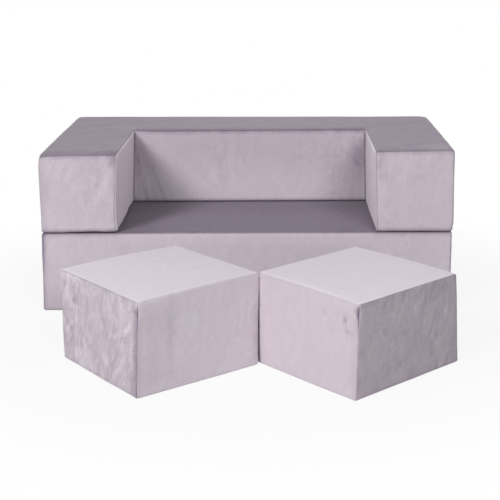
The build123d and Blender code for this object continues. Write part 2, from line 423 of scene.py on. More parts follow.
@dataclass(frozen=True)
class Mark:
    """A soft patch of lighter or darker tone: some are pushed-over pile, others painted shade.

    Attributes:
        side: The side that it is on.
        place: Its middle, in millimetres in the block's own frame.
        wide: Half its width in millimetres.
        long: Half its height in millimetres.
        change: How much lighter or darker it makes the tone.
        lean: How far it leans to higher X or Y for each step up.
    """

    side: Side
    place: Point
    wide: float
    long: float
    change: float
    lean: float = 0.0

    def on(self, cloth: "Cloth") -> Values:
        """What it changes at each point of the cloth."""
        off = cloth.at / MM - np.array(self.place)
        up = off[:, 1 if self.side.axis == 2 else 2]
        across = off[:, 1 if self.side.axis == 0 else 0] - self.lean * up
        reach = (across / self.wide) ** 2 + (up / self.long) ** 2
        frayed = np.clip(1 + 0.5 * cloth.ripple((22 * MM,) * 3, int(abs(sum(self.place)))), 0.5, 2)
        here = cloth.facing(self.side) * (np.abs(off[:, self.side.axis]) < 25)
        return self.change * np.exp(-reach * frayed) * here


def marks_on(side: Side, level: float, rows: Iterable[Sequence[float]]) -> tuple[Mark, ...]:
    """Lists the marks on one side of a block.

    Args:
        side: The side.
        level: Where it lies along its axis, in millimetres.
        rows: For each mark its two places across that axis, then its wide, long, change and lean.

    Returns:
        The marks.
    """
    made = []
    for first, second, *rest in rows:
        place = [first, second]
        place.insert(side.axis, level)
        made.append(Mark(side, tuple(place), *rest))
    return tuple(made)


@dataclass
class Cloth:
    """The points of a cover before it is sculpted.

    Attributes:
        at: Where each point lies.
        out: The way out of the block at each point.
        seam: How far each point is from the nearest seam.
    """

    at: Values
    out: Values
    seam: Values

    def facing(self, side: Side) -> Values:
        """How far each point looks to a side, from 0 to 1."""
        return np.clip(self.out @ np.array(side.value, float), 0, 1) ** 2

    def ripple(self, lengths: Sequence[float], seed: int, waves: int = 12) -> Values:
        """Makes a smooth seeded field over the cloth.

        Args:
            lengths: Its usual wave length along each axis.
            seed: Which field of the kind it is.
            waves: How many plane waves it is the sum of.

        Returns:
            A value for each point, mostly from -1 to 1.
        """
        rng = np.random.default_rng(seed)
        ways = rng.normal(size=(waves, 3))
        ways /= np.linalg.norm(ways, axis=1)[:, None]
        ways *= rng.uniform(0.6, 1.6, (waves, 1)) * 2 * math.pi
        phases = rng.uniform(0, 2 * math.pi, waves)
        total = np.zeros(len(self.at))
        for way, phase in zip(ways, phases):
            total += np.sin((self.at / np.array(lengths)) @ way + phase)
        return total / math.sqrt(waves)


def new_piece(name: str, form: Form, finish: Material) -> Piece:
    """Turns a form into an object of one material, and frees the form.

    Args:
        name: The object's name.
        form: Its shape, in the sofa's frame.
        finish: Its material.

    Returns:
        The object, linked to the scene.
    """
    mesh = bpy.data.meshes.new(name)
    form.to_mesh(mesh)
    form.free()
    mesh.materials.append(finish)
    piece = bpy.data.objects.new(name, mesh)
    bpy.context.scene.collection.objects.link(piece)
    return piece


def stand_in(piece: Piece, body: str, node: str) -> None:
    """Lets a piece stand for a node of the frame, and reports it.

    Args:
        piece: The piece.
        body: What it moves with.
        node: The node that it hides.
    """
    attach(piece, body)
    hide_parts(node)
    LOG.info("%s: %d faces", piece.name, len(piece.data.polygons))


def block_form(low: Vector, high: Vector) -> Form:
    """Starts a form as a plain block between two corners."""
    form = bmesh.new()
    bmesh.ops.create_cube(form, size=1.0, matrix=Matrix.LocRotScale((low + high) / 2, None, high - low))
    return form


def cut_across(form: Form, axis: int, places: Iterable[float]) -> None:
    """Cuts a form by planes across an axis, leaving it whole."""
    way = Vector([float(i == axis) for i in range(3)])
    for place in places:
        everything = form.verts[:] + form.edges[:] + form.faces[:]
        bmesh.ops.bisect_plane(form, geom=everything, dist=SNAP, plane_co=way * place, plane_no=way)


def round_edges(form: Form, edges: list[Any], radius: float, segments: int) -> None:
    """Rounds edges of a form."""
    bmesh.ops.bevel(
        form, geom=edges, offset=radius, offset_type="OFFSET", affect="EDGES", segments=segments, profile=0.5,
        material=-1, clamp_overlap=False,
    )


def move_verts(form: Form, places: Values) -> None:
    """Puts the vertices of a form in new places."""
    for vert, co in zip(form.verts, places):
        vert.co = co


def bulge(share: Values) -> Values:
    """One at the middle of a span that runs from -1 to 1, falling to nothing at its ends."""
    return np.clip(1 - share**2, 0, 1)


def step(value: Values, start: float, end: float) -> Values:
    """Smooth step from 0 at start to 1 at end."""
    share = np.clip((value - start) / (end - start), 0, 1)
    return share * share * (3 - 2 * share)


def near(value: Values, place: float, reach: float) -> Values:
    """One at a place, dying away over a reach to both sides."""
    return np.exp(-(((value - place) / reach) ** 2))


def shares_of(at: Values, low: Vector, high: Vector) -> Values:
    """Places of points in a block between two corners, from -1 to 1 along each axis."""
    return (at - np.array((low + high) / 2)) / np.array((high - low) / 2)


def settle(at: Values, low: Vector, high: Vector, corners: Settled) -> Values:
    """Moves the corners of a block, and all between them in proportion.

    Args:
        at: Points of the block.
        low: Its lowest corner.
        high: Its highest corner.
        corners: How far corners have moved in millimetres, each named by its signs along the axes.

    Returns:
        How far each point moves.
    """
    shares, moved = shares_of(at, low, high), np.zeros_like(at)
    for corner, move in corners.items():
        weight = np.prod(np.clip(1 + shares * np.array(corner), 0, 2) / 2, axis=1)
        moved += weight[:, None] * np.array(move) * MM
    return moved


@dataclass
class Cover:
    """A sewn cover round one foam block: rounded, cut into a fine grid, sculpted and split into panels.

    Attributes:
        body: What it moves with.
        low: The block's lowest corner, in its own frame.
        high: Its highest corner.
        panels: The pieces of cloth that it is sewn from.
        zip_place: Middle of its zip, on its back.
        zip_length: Length of the zip's slot.
        place: From the block's own frame to the sofa's.
        settled: How far its corners have moved.
        seed: Which run of random fields it has.
    """

    body: str
    low: Vector
    high: Vector
    panels: list[Panel]
    zip_place: Vector
    zip_length: float
    place: Matrix = field(default_factory=Matrix)
    grid: float = 6.5 * MM
    seam_radius: float = 4.5 * MM
    seam_segments: int = 6
    fold_radius: float = 8.0 * MM
    fold_segments: int = 8
    thickness: float = 2.0 * MM
    slot_height: float = 12.0 * MM
    seam_depth: float = 2.2 * MM
    seam_width: float = 1.5 * MM
    seam_ridge: float = 1.1 * MM
    seam_shade: float = 0.12
    marks: tuple[Mark, ...] = ()
    settled: Settled = field(default_factory=dict)
    fold_shade: float = 0.07
    lip_depth: float = 0.9 * MM
    lip_width: float = 3.0 * MM
    top_sink: float = 0.5 * MM
    waver: float = 0.45 * MM
    fill: float = 0.95
    seed: int = 1

    # Shape

    def form(self) -> Form:
        """Makes the block's closed form with rounded edges."""
        raise NotImplementedError

    def spans(self, low: float, high: float, edge: float) -> list[float]:
        """Places of the grid's cuts between two rounded edges."""
        start, end = low + edge, high - edge
        count = max(2, round((end - start) / self.grid))
        return [start + (end - start) * i / count for i in range(1, count)]

    def slot_cuts(self) -> dict[int, list[float]]:
        """Places of the extra cuts round the zip's slot, across X and Z."""
        half, tall, level = self.zip_length / 2, self.slot_height / 2, self.zip_place.z
        return {
            0: [way * (half + beside * MM) for way in (-1, 1) for beside in (0.0, 2.0, 4.0)],
            2: [level + way * (tall + beside * MM) for way in (-1, 1) for beside in (0.0, 1.5, 3.5)],
        }

    def open_slot(self, form: Form) -> None:
        """Takes out the faces where the zip's slot is."""
        gone = []
        for face in form.faces:
            middle = face.calc_center_median()
            across, up = abs(middle.x), abs(middle.z - self.zip_place.z)
            outer = face.normal.y > 0.9 and middle.y > self.high.y - self.seam_radius
            if outer and across < self.zip_length / 2 and up < self.slot_height / 2:
                gone.append(face)
        bmesh.ops.delete(form, geom=gone, context="FACES")

    def mark_faces(self, form: Form) -> None:
        """Writes on each unsculpted face the numbers of its panel and side, and numbers the points."""
        middles = np.array([f.calc_center_median() for f in form.faces])
        normals = np.array([f.normal for f in form.faces])
        looks = np.argmax(normals @ np.array([s.value for s in SIDES], float).T, axis=1)
        owners = np.zeros(len(middles), int)
        best = np.full(len(middles), np.inf)
        for number, panel in enumerate(self.panels):
            for side, place in panel.faces.items():
                off = middles - np.array(place)
                reach = np.abs(off[:, side.axis]) * 1000 + np.linalg.norm(off, axis=1)
                nearer = (looks == SIDES.index(side)) & (reach < best)
                owners[nearer], best[nearer] = number, reach[nearer]
        owner = form.faces.layers.int.new("panel")
        look = form.faces.layers.int.new("side")
        for face, number, side in zip(form.faces, owners.tolist(), looks.tolist()):
            face[owner], face[look], face.smooth = number, side, True
        source = form.verts.layers.int.new("source")
        for i, vert in enumerate(form.verts):
            vert[source] = i

    @staticmethod
    def cloth_of(form: Form) -> Cloth:
        """Reads a form's points, normals and distances from the seams."""
        owner = form.faces.layers.int["panel"]
        seams = [v for v in form.verts if len({f[owner] for f in v.link_faces}) > 1]
        tree = KDTree(len(seams))
        for i, vert in enumerate(seams):
            tree.insert(vert.co, i)
        tree.balance()
        return Cloth(
            np.array([v.co for v in form.verts]),
            np.array([v.normal for v in form.verts]),
            np.array([tree.find(v.co)[2] for v in form.verts]),
        )

    def push(self, cloth: Cloth) -> Values:
        """How far each point moves outwards."""
        raise NotImplementedError

    def sunk_top(self, cloth: Cloth, lengths: Point, seed: int, relief: float) -> Values:
        """Lets the top lie a little below its own level, and unevenly."""
        uneven = np.clip(cloth.ripple(lengths, self.seed + seed), -1.5, 1.5)
        return (relief * uneven - self.top_sink) * cloth.facing(Side.TOP)

    def shift(self, cloth: Cloth) -> Values:
        """How far each point moves where the block has settled out of square."""
        return settle(cloth.at, self.low, self.high, self.settled)

    def held(self, cloth: Cloth) -> Values:
        """One where the zip holds the cloth in place."""
        return cloth.facing(Side.BACK) * near(cloth.at[:, 2], self.zip_place.z, 24 * MM)

    def seam_strength(self, cloth: Cloth) -> Values:
        """How strongly the seam beside each point is pulled in, and how dark the painted shade along it is.
        """
        raise NotImplementedError

    def sewn(self, cloth: Cloth) -> Values:
        """The pull of the seams, with small puckers along them, and of the slot's turned-in lips."""
        pucker = self.seam_strength(cloth) * (1 + 0.35 * cloth.ripple((26 * MM,) * 3, self.seed + 70))
        pull = self.seam_ridge * near(cloth.seam, 3.4 * MM, 2.4 * MM) * pucker
        pull -= self.seam_depth * pucker * near(cloth.seam, 0, self.seam_width)
        over = np.maximum(np.abs(cloth.at[:, 0]) - self.zip_length / 2, 0)
        up = np.maximum(np.abs(cloth.at[:, 2] - self.zip_place.z) - self.slot_height / 2, 0)
        lip = np.exp(-((np.hypot(over, up) / self.lip_width) ** 2)) * cloth.facing(Side.BACK)
        return pull - self.lip_depth * lip

    # Tone: the pile's lie, with painted light and shade

    def tone(self, panel: Panel, cloth: Cloth) -> Values:
        """How light the cloth looks at each point of a panel: the pile's lie and marks, with painted light
        and shade.
        """
        weights = {side: cloth.facing(side) for side in panel.faces}
        total = sum(weights.values()) + 1e-6
        tone = sum(weights[side] * panel.tones[side] for side in panel.faces) / total
        # Painted shade: a dark line along the seams, partly where the pile parts, and a darker band across
        # the rounded folds.
        parted_and_shaded = self.seam_shade * self.seam_strength(cloth) * near(cloth.seam, 0, 1.7 * MM)
        tone -= self.fold_shade * 4 * cloth.facing(Side.TOP) * (1 - cloth.facing(Side.TOP))
        return tone - parted_and_shaded + sum(mark.on(cloth) for mark in self.marks) + self.brushed_and_shaded(panel, cloth)

    def brushed_and_shaded(self, panel: Panel, cloth: Cloth) -> Values:
        """Broader lighter and darker parts of a panel: the pile's lie, and painted light and shade."""
        raise NotImplementedError

    # Panels

    def cloth_map(self, side: Side, at: Values, panel: Panel) -> tuple[Values, Values]:
        """Place of points on their flat cut panel, with the pile running along the second number."""
        x, y, z = at.T
        if side.axis == 0:
            return y * side.value[0], z
        if len(panel.faces) == 1:
            return (-x * side.value[1], z) if side.axis == 1 else (y, x)
        depth = y - self.low.y
        if side is Side.UNDER:
            return x, z - depth
        return x, depth + (2 * self.high.z - z if side is Side.BACK else z)

    def lay_out(self, mesh: bpy.types.Mesh, number: int, cloth: Cloth) -> None:
        """Gives a panel's mesh its cloth map and its tone, the pile's lie with painted light and shade, and
        takes away the marks used in building.

        Args:
            mesh: The panel's mesh.
            number: Number of the panel.
            cloth: The points before they were sculpted.
        """
        panel = self.panels[number]
        source = np.zeros(len(mesh.vertices), np.int32)
        mesh.attributes["source"].data.foreach_get("value", source)
        looks = np.zeros(len(mesh.polygons), np.int32)
        mesh.attributes["side"].data.foreach_get("value", looks)
        sizes, corners = np.zeros(len(looks), np.int32), np.zeros(len(mesh.loops), np.int32)
        mesh.polygons.foreach_get("loop_total", sizes)
        mesh.loops.foreach_get("vertex_index", corners)
        at, looks = cloth.at[source[corners]], np.repeat(looks, sizes)
        flat = np.zeros((len(corners), 2), np.float32)
        for side in panel.faces:
            here = looks == SIDES.index(side)
            flat[here] = np.stack(self.cloth_map(side, at[here], panel), axis=1)
        flat += np.array([3.7 * number + self.seed, 1.3 * number])
        mesh.uv_layers.new(name=CLOTH_MAP).data.foreach_set("uv", flat.ravel())
        rub = np.full(len(cloth.at), panel.rubbed)
        for name, values in ((NAP_AND_SHADE, self.tone(panel, cloth)), (RUB, rub)):
            values = values[source].astype(np.float32)
            mesh.attributes.new(name, "FLOAT", "POINT").data.foreach_set("value", values)
        for name in ("source", "side", "panel"):
            mesh.attributes.remove(mesh.attributes[name])

    def part(self, form: Form, number: int, cloth: Cloth, finish: Material) -> None:
        """Takes one panel out of the sculpted form and makes it a piece.

        Args:
            form: The whole sculpted form.
            number: Number of the panel.
            cloth: The points before they were sculpted.
            finish: The panel's material.
        """
        node = self.panels[number].node
        cut = form.copy()
        owner = cut.faces.layers.int["panel"]
        bmesh.ops.delete(cut, geom=[f for f in cut.faces if f[owner] != number], context="FACES")
        cut.transform(self.place)
        piece = new_piece(node + "_cloth", cut, finish)
        self.lay_out(piece.data, number, cloth)
        shell = piece.modifiers.new("cloth_thickness", "SOLIDIFY")
        shell.thickness = self.thickness
        shell.offset = -1
        stand_in(piece, self.body, node)

    def make(self, finish: Material) -> None:
        """Builds the whole cover of one material."""
        form = self.form()
        self.open_slot(form)
        form.normal_update()
        self.mark_faces(form)
        cloth = self.cloth_of(form)
        moved = cloth.at + self.shift(cloth) * (1 - self.held(cloth))[:, None]
        move_verts(form, moved + cloth.out * (self.push(cloth) + self.sewn(cloth))[:, None])
        for number in range(len(self.panels)):
            self.part(form, number, cloth, finish)
        form.free()


@dataclass
class StripCover(Cover):
    """Cover of a plain block: one strip all round it and a panel at each end.

    Attributes:
        front_swell: How far the front stands out in its middle.
        end_swell: How far each end does.
        crown: How far the top does.
        sole_radius: Radius of the strip's two lower folds.
    """

    front_swell: float = 3.0 * MM
    end_swell: float = 2.0 * MM
    crown: float = 0.0
    sole_radius: float = 8.0 * MM

    def form(self) -> Form:
        """Makes the block: soft folds along X where the strip goes round, tighter seams round its ends."""
        form, middle = block_form(self.low, self.high), (self.low + self.high) / 2
        along = [e for e in form.edges if abs((e.verts[0].co - e.verts[1].co).x) > middle.x - self.low.x]
        upper = [e for e in along if e.verts[0].co.z > middle.z]
        lower = [e for e in along if e.verts[0].co.z < middle.z]
        round_edges(form, upper, self.fold_radius, self.fold_segments)
        round_edges(form, lower, self.sole_radius, self.fold_segments)
        form.normal_update()
        ends = [e for e in form.edges if abs(e.calc_face_angle(0) - math.pi / 2) < 0.3]
        round_edges(form, ends, self.seam_radius, self.seam_segments)
        extra = self.slot_cuts()
        cut_across(form, 0, self.spans(self.low.x, self.high.x, self.seam_radius) + extra[0])
        cut_across(form, 2, self.spans(self.low.z, self.high.z, self.fold_radius) + extra[2])
        cut_across(form, 1, self.spans(self.low.y, self.high.y, self.fold_radius))
        return form

    def push(self, cloth: Cloth) -> Values:
        """Swells the front, the ends and the top, and lets the cloth waver a little."""
        across, deep, up = shares_of(cloth.at, self.low, self.high).T
        ends = cloth.facing(Side.LEFT) + cloth.facing(Side.RIGHT)
        full = 0.6 + 0.4 * bulge(up)
        out = self.front_swell * bulge(across) * full * cloth.facing(Side.FRONT)
        out += self.end_swell * bulge(deep) * full * ends
        out += self.crown * bulge(across) * cloth.facing(Side.TOP)
        free = cloth.facing(Side.FRONT) + ends
        return out + self.waver * cloth.ripple((0.16, 0.16, 0.12), self.seed) * free


@dataclass
class BaseCover(StripCover):
    """The low base block's cover: seat top, front, back and underside in one strip.

    Attributes:
        seat_half: Half the width of the seat between the arms.
    """

    seat_half: float = 331 * MM
    fold_shade: float = 0.02

    def push(self, cloth: Cloth) -> Values:
        """As for any strip cover, with the seat top a little uneven below its own level."""
        return super().push(cloth) + self.sunk_top(cloth, (0.22, 0.14, 0.2), 5, 0.25 * MM)

    def seam_strength(self, cloth: Cloth) -> Values:
        """Strongest at the top of the left front edge."""
        x, _, z = cloth.at.T
        left = (x < 0) * (0.25 + 0.75 * step(z, 40 * MM, self.high.z))
        return 0.35 + 1.4 * left * cloth.facing(Side.FRONT) ** 0.25

    def brushed_and_shaded(self, panel: Panel, cloth: Cloth) -> Values:
        """A paler band and a darker half on the front, darker toward its bottom and its left end, painted
        shade under the arms and down its left edge, and painted shade on the seat's back half and beside the
        arms.
        """
        x, y, z = cloth.at.T
        drop = self.high.z - z
        seat = 1 - step(np.abs(x), self.seat_half - 4 * MM, self.seat_half + 4 * MM)
        front = -seat * step(drop, 27 * MM, 35 * MM) * (0.014 + 0.006 * step(x, -2 * MM, 6 * MM))
        # Painted shade on the front under the arms.
        front -= 0.08 * (1 - seat) * (1 - step(drop, 2 * MM, 15 * MM))
        front -= 0.025 * step(drop, 110 * MM, 210 * MM) + 0.016 * (1 - step(x, -400 * MM, -200 * MM))
        # Painted shade down the front's left edge, where the cloth turns away from the light.
        front -= 0.3 * (x < 0) * near(cloth.seam, 0, 6 * MM) * (0.35 + 0.65 * step(z, 60 * MM, self.high.z))
        # Painted shade on the seat: over its back half, and beside each arm, where the arms cast shadow.
        top = -0.05 * step(y, -170 * MM, 0) - 0.048 * step(x, 150 * MM, 330 * MM)
        top -= 0.085 * (1 - step(x, -330 * MM, -170 * MM))
        return front * cloth.facing(Side.FRONT) + top * cloth.facing(Side.TOP)


@dataclass
class BackrestCover(Cover):
    """The U-shaped backrest's cover: ten panels, with a seam on every edge.

    Attributes:
        inner: X of the right arm's inside.
        niche_back: Y of the inner back panel.
        swell: How far each free face stands out in its middle.
    """

    inner: float = 331 * MM
    niche_back: float = 45 * MM
    swell: float = 2.0 * MM
    seam_radius: float = 7.0 * MM
    seam_ridge: float = 0.2 * MM
    fold_shade: float = 0.0

    @property
    def arm_middle(self) -> float:
        """X of the right arm's middle."""
        return (self.inner + self.high.x) / 2

    def form(self) -> Form:
        """Makes the U: the back block, with each arm drawn forward from it."""
        form = block_form(Vector((self.low.x, self.niche_back, self.low.z)), self.high)
        cut_across(form, 0, (-self.inner, self.inner))
        form.normal_update()
        arms = [f for f in form.faces if f.normal.y < -0.9 and abs(f.calc_center_median().x) > self.inner]
        drawn = bmesh.ops.extrude_discrete_faces(form, faces=arms)["faces"]
        verts = list({v for f in drawn for v in f.verts})
        bmesh.ops.translate(form, verts=verts, vec=(0, self.low.y - self.niche_back, 0))
        bmesh.ops.dissolve_limit(form, angle_limit=0.01, verts=form.verts[:], edges=form.edges[:])
        form.normal_update()
        outer = [e for e in form.edges if e.calc_face_angle_signed(0) > 0.5]
        round_edges(form, outer, self.seam_radius, self.seam_segments)
        extra = self.slot_cuts()
        edge = self.seam_radius
        across = self.spans(self.inner, self.high.x, edge)
        across = [-x for x in across] + across + self.spans(-self.inner, self.inner, -edge)
        cut_across(form, 0, across + [-self.inner - edge, self.inner + edge] + extra[0])
        deep = self.spans(self.low.y, self.niche_back, edge) + self.spans(self.niche_back, self.high.y, edge)
        cut_across(form, 2, self.spans(self.low.z, self.high.z, edge) + extra[2])
        cut_across(form, 1, deep + [self.niche_back + edge])
        return form

    def fan(self, cloth: Cloth, corner: float, lean: float) -> tuple[Values, Values]:
        """Reads points as a fan opening right (1) or left (-1) from a top corner: run over drop, and drop."""
        drop = self.high.z - cloth.at[:, 2] + 6 * MM
        return lean * (cloth.at[:, 0] - corner) / drop, drop

    def push(self, cloth: Cloth) -> Values:
        """Swells the free faces, and folds the inner back panel at the niche's corners."""
        x, y, z = cloth.at.T
        up = (z - (self.low.z + self.high.z) / 2) / (self.high.z - self.low.z) * 2
        front, left, right = (cloth.facing(side) for side in (Side.FRONT, Side.LEFT, Side.RIGHT))
        arm_half, arm_deep = (self.high.x - self.inner) / 2, (self.niche_back - self.low.y) / 2
        inside_back, within = front * (y > 0), np.abs(x) < self.arm_middle
        out, free = np.zeros(len(x)), np.zeros(len(x))
        for face, along in (
            (inside_back, x / self.inner),
            (front * (y < 0), (np.abs(x) - self.arm_middle) / arm_half),
            ((right * (x < 0) + left * (x > 0)) * within, (y - self.low.y) / arm_deep - 1),
            ((right + left) * (np.abs(x) > self.arm_middle), y / self.high.y),
        ):
            out += self.swell * bulge(along) * (0.6 + 0.4 * bulge(up)) * face
            free += face
        out += self.waver * cloth.ripple((0.15, 0.15, 0.11), self.seed) * free
        out += self.sunk_top(cloth, (0.2, 0.14, 0.2), 4, 0.3 * MM)
        for corner, lean, depth, width in ((-self.inner, 1, 2.2 * MM, 0.6), (self.inner, -1, 1.4 * MM, 0.3)):
            round_it, drop = self.fan(cloth, corner, lean)
            ends = step(round_it, 0.0, 0.06) * (1 - step(round_it, width * 0.7, width))
            grown = step(drop, 25 * MM, 90 * MM) * (1 - 0.5 * step(drop, 150 * MM, 205 * MM))
            out += depth * np.sin(round_it * 52 + 9 * drop) * ends * grown * inside_back
        return out

    def shift(self, cloth: Cloth) -> Values:
        """Lifts the lower edges off the base in places, leans the arms' insides and blunts some corners."""
        x, y, z = cloth.at.T
        moved = super().shift(cloth)
        low = near(z, self.low.z, 22 * MM)
        up = (z - self.low.z) / (self.high.z - self.low.z)
        front_edge = near(y, self.low.y, 20 * MM)
        waves = 1 + 0.35 * cloth.ripple((0.09, 0.3, 0.3), self.seed + 31)
        left_lift = 1.8 * MM * bulge((x + self.arm_middle - 35 * MM) / (75 * MM))
        right_lift = 0.9 * MM * bulge((x - self.arm_middle) / (96 * MM))
        moved[:, 2] += (left_lift + right_lift) * front_edge * low * waves
        moved[:, 1] -= 2.5 * MM * front_edge * near(z, self.low.z, 40 * MM)
        niche_edge = near(y, self.niche_back, 14 * MM) * near(z, self.low.z, 9 * MM)
        niche_edge *= np.abs(x) < self.inner
        moved[:, 2] += 0.5 * MM * niche_edge * (0.6 + 0.4 * step(x, -0.15, 0.1)) * bulge(x / self.inner)
        arm_edge = bulge((y + 130 * MM) / (168 * MM)) * near(x, -self.inner, 16 * MM)
        moved[:, 2] += 5.5 * MM * arm_edge * low
        forward = 1 - step(y, self.low.y, self.niche_back)
        across = bulge((np.abs(x) - self.inner) / (150 * MM)) * (y < self.niche_back + 20 * MM)
        left = -6.5 + 12 * up - 1.8 * forward
        right = forward * (2.4 * (1 - up) - 2.2 * up) - 3.4 * (1 - forward) * up
        moved[:, 0] += np.where(x < 0, left, right) * MM * across
        loose = bulge((y - self.low.y - 112 * MM) / (128 * MM)) * near(z, self.low.z, 60 * MM)
        moved[:, 0] += 6.5 * MM * loose * near(x, -self.inner, 18 * MM)
        for place, reach, move in (
            ((-self.high.x, self.low.y, self.high.z), 21, (2.5, 1.5, -3.0)),
            ((self.high.x, self.high.y, self.high.z), 15, (-3.0, -2.0, -2.5)),
            ((-self.inner, self.low.y, self.high.z), 18, (0.0, 1.0, -2.5)),
            ((-self.inner, self.niche_back, self.high.z), 45, (0.0, 0.0, 2.6)),
            ((-self.inner, self.low.y, self.low.z), 22, (5.5, 0.0, 2.0)),
            ((self.high.x, self.low.y, self.low.z + 4 * MM), 14, (-3.0, 1.0, 0.0)),
            ((self.high.x, self.high.y, self.low.z), 16, (-3.0, -2.0, 2.0)),
            ((-self.high.x, self.high.y, self.high.z), 12, (1.5, -1.5, -1.0)),
        ):
            off = np.linalg.norm(cloth.at - np.array(place), axis=1) / (reach * MM)
            moved += np.exp(-(off**2))[:, None] * np.array(move) * MM
        return moved

    def seam_strength(self, cloth: Cloth) -> Values:
        """Strongest down the right arm's inner front edge and along the lower edges."""
        x, y, z = cloth.at.T
        upright = near(x, self.inner, 14 * MM) * near(y, self.low.y, 14 * MM)
        sole = near(z, self.low.z, 12 * MM)
        niche = near(np.abs(x), self.inner, 8 * MM) * near(y, self.niche_back, 10 * MM)
        return np.clip(0.1 + 0.5 * upright + 0.1 * sole - 0.08 * niche, 0, 1)

    def brushed_and_shaded(self, panel: Panel, cloth: Cloth) -> Values:
        """Painted shade at the top's front edges, partly the pile's lie, and along the lower edges; painted
        light and shade on the arms and on the inner back panel, with the arms' shadows in the niche's top
        corners.
        """
        x, y, z = cloth.at.T
        drop, rise = self.high.z - z, z - self.low.z
        forward = y - self.low.y
        ragged = 1 + 0.13 * cloth.ripple((0.06, 0.1, 0.06), self.seed + 9)
        # Painted shade on the front just below the top edge, partly the pile's lie, and along the lower edges
        # where they meet the base.
        below_top = np.where(y > 0, 0.19, 0.17) * (1 - step(drop, -2 * MM, 13 * MM * ragged))
        mark = -(below_top + 0.15 * (1 - step(rise, 0, 14 * MM))) * cloth.facing(Side.FRONT)
        in_niche = np.abs(x) < self.inner
        # Painted shade on the top behind its front edges.
        behind = near(forward, np.where(x < 0, 26, 14) * MM, np.where(x < 0, 38, 20) * MM)
        rim = 0.12 * near(y, self.niche_back, 34 * MM) * in_niche + 0.055 * behind * ~in_niche
        mark -= rim * ragged * cloth.facing(Side.TOP)
        if panel.node.endswith("_arm_inside"):
            # Painted light on the arms' insides toward the front, and painted shade on their front rounding.
            mark += 0.1 * (1 - step(y, self.low.y, self.niche_back))
            mark += 0.03 * (x < 0) * (1 - step(y, -200 * MM, -90 * MM))
            mark -= np.where(x < 0, 0.16, 0.2) * (1 - step(forward, 3 * MM, 9 * MM))
        if panel.node.endswith("_arm_front"):
            # Darker near the arms' top, and painted shade down their outer edges.
            mark -= 0.012 * (1 - step(drop, 40 * MM, 130 * MM))
            mark -= 0.035 * near(x, math.copysign(self.high.x, x[0]), 14 * MM)
        if panel.node.endswith("back_inside"):
            # Painted light toward the bottom of the inner back panel, and the arms' painted shadows fanning
            # down from the niche's top corners.
            mark += 0.05 * step(drop, 50 * MM, 170 * MM)
            for corner, lean, width, change in ((-self.inner, 1, 0.7, -0.045), (self.inner, -1, 0.3, -0.02)):
                round_it, fall = self.fan(cloth, corner, lean)
                mark += change * (1 - step(round_it, width * 0.5, width)) * step(fall, 6 * MM, 60 * MM)
        return mark


@dataclass
class PoufCover(StripCover):
    """A pouf's cover. Its front corner is where the strip meets the end panel that looks forward.

    Attributes:
        front_end: -1 where that is the left end, 1 where it is the right.
        front_seam: How strongly the seam down that corner is pulled in.
    """

    front_end: int = -1
    front_seam: float = 0.75
    sole_radius: float = 4.5 * MM
    seam_radius: float = 3.8 * MM
    seam_depth: float = 1.5 * MM
    seam_ridge: float = 0.25 * MM
    seam_shade: float = 0.15
    crown: float = 3.0 * MM
    fold_shade: float = 0.1

    def corner(self, cloth: Cloth) -> Values:
        """How far each point is from the upright edge at the front corner."""
        x, y, _ = cloth.at.T
        return np.hypot(x - self.front_end * self.high.x, y - self.low.y)

    def push(self, cloth: Cloth) -> Values:
        """As for any strip cover, with an open tuck at the top of the front corner's seam."""
        tuck = near(cloth.at[:, 2], self.high.z - 22 * MM, 13 * MM) * near(cloth.seam, 0, 3.2 * MM)
        return super().push(cloth) - 2.2 * MM * tuck * near(self.corner(cloth), 0, 16 * MM)

    def seam_strength(self, cloth: Cloth) -> Values:
        """Strongest down the upright edges, weak along the top, and easing down the front corner."""
        z = cloth.at[:, 2]
        eased = (1 - self.front_seam) * near(self.corner(cloth), 0, 20 * MM)
        lower = 1 - eased * (1 - step(z, self.high.z - 75 * MM, self.high.z - 35 * MM))
        return lower * (1 - 0.85 * step(z, self.high.z - 11 * MM, self.high.z - 4 * MM))

    def brushed_and_shaded(self, panel: Panel, cloth: Cloth) -> Values:
        """Painted shade where the cloth rolls in to the front corner's seam from its left, and a darker
        fringe below the top seams.
        """
        drop, away = self.high.z - cloth.at[:, 2], self.corner(cloth)
        ends = cloth.facing(Side.LEFT) + cloth.facing(Side.RIGHT)
        at_edge = 1 - step(away, 2 * MM, 15 * MM)
        # Painted shade where the cloth turns in to the front corner's seam.
        roll_shade = 0.09 * (1 - step(away, 11 * MM, 26 * MM)) + 0.07 * at_edge
        if self.front_end < 0:
            roll_shade = roll_shade * cloth.facing(Side.LEFT) + 0.06 * at_edge * cloth.facing(Side.FRONT)
        else:
            roll_shade = roll_shade * 0.2 * cloth.facing(Side.FRONT)
        fringe = 1 - step(drop, 0, 14 * MM * (1 + 0.5 * cloth.ripple((0.04,) * 3, self.seed + 17)))
        return -roll_shade * step(drop, 6 * MM, 20 * MM) - 0.03 * fringe * ends


